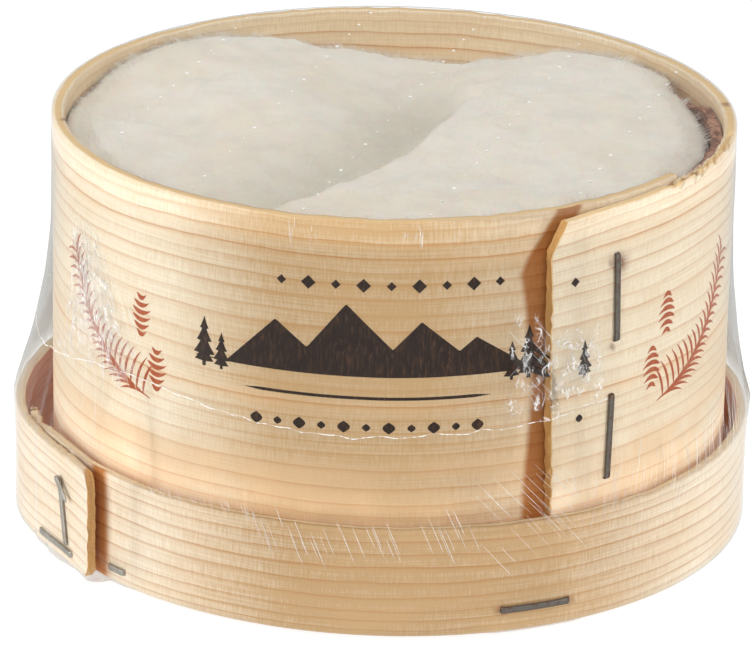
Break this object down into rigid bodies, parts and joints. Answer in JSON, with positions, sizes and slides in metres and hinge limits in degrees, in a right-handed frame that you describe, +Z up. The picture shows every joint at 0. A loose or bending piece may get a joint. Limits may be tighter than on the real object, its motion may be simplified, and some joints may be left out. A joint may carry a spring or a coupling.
{
  "type": "boxed soft cheese",
  "caption": "Round soft mountain cheese with a folded bloomy rind, girded with bark, in a lapped spruce box standing in its upturned lid, shrink-wrapped in clear film.",
  "frame": {"origin": "centre of the bounding box at its bottom, on the floor under the lid", "axes": "+Z up through the box, -Y towards the viewer of the picture, +X to the viewer's right"},
  "size_m": [0.1262, 0.1236, 0.0705],
  "materials": {
    "bloomy_rind": "soft matt white mould with short hair over a pinkish cream rind",
    "spruce_bark": "damp rosy-brown inner bark, matt, with fine fibres",
    "spruce_strip": "planed pale spruce with even growth rings along the strip, unvarnished",
    "spruce_board": "sawn pale spruce board, unvarnished",
    "staple_wire": "dull galvanised flat wire",
    "clear_film": "clear glossy heat-shrunk film with fine vents, creases and a weld line"
  },
  "bodies": {
    "root": {"cheese": "bloomy_rind", "bark_strap": "spruce_bark", "box_side": "spruce_strip", "box_base": "spruce_board", "lid_band": "spruce_strip", "lid_board": "spruce_board", "staple_box_upper": "staple_wire", "staple_box_lower": "staple_wire", "staple_tongue_upright": "staple_wire", "staple_tongue_level": "staple_wire", "staple_band_side": "staple_wire", "staple_band_front": "staple_wire", "film_wrap": "clear_film"}
  },
  "joints": []
}
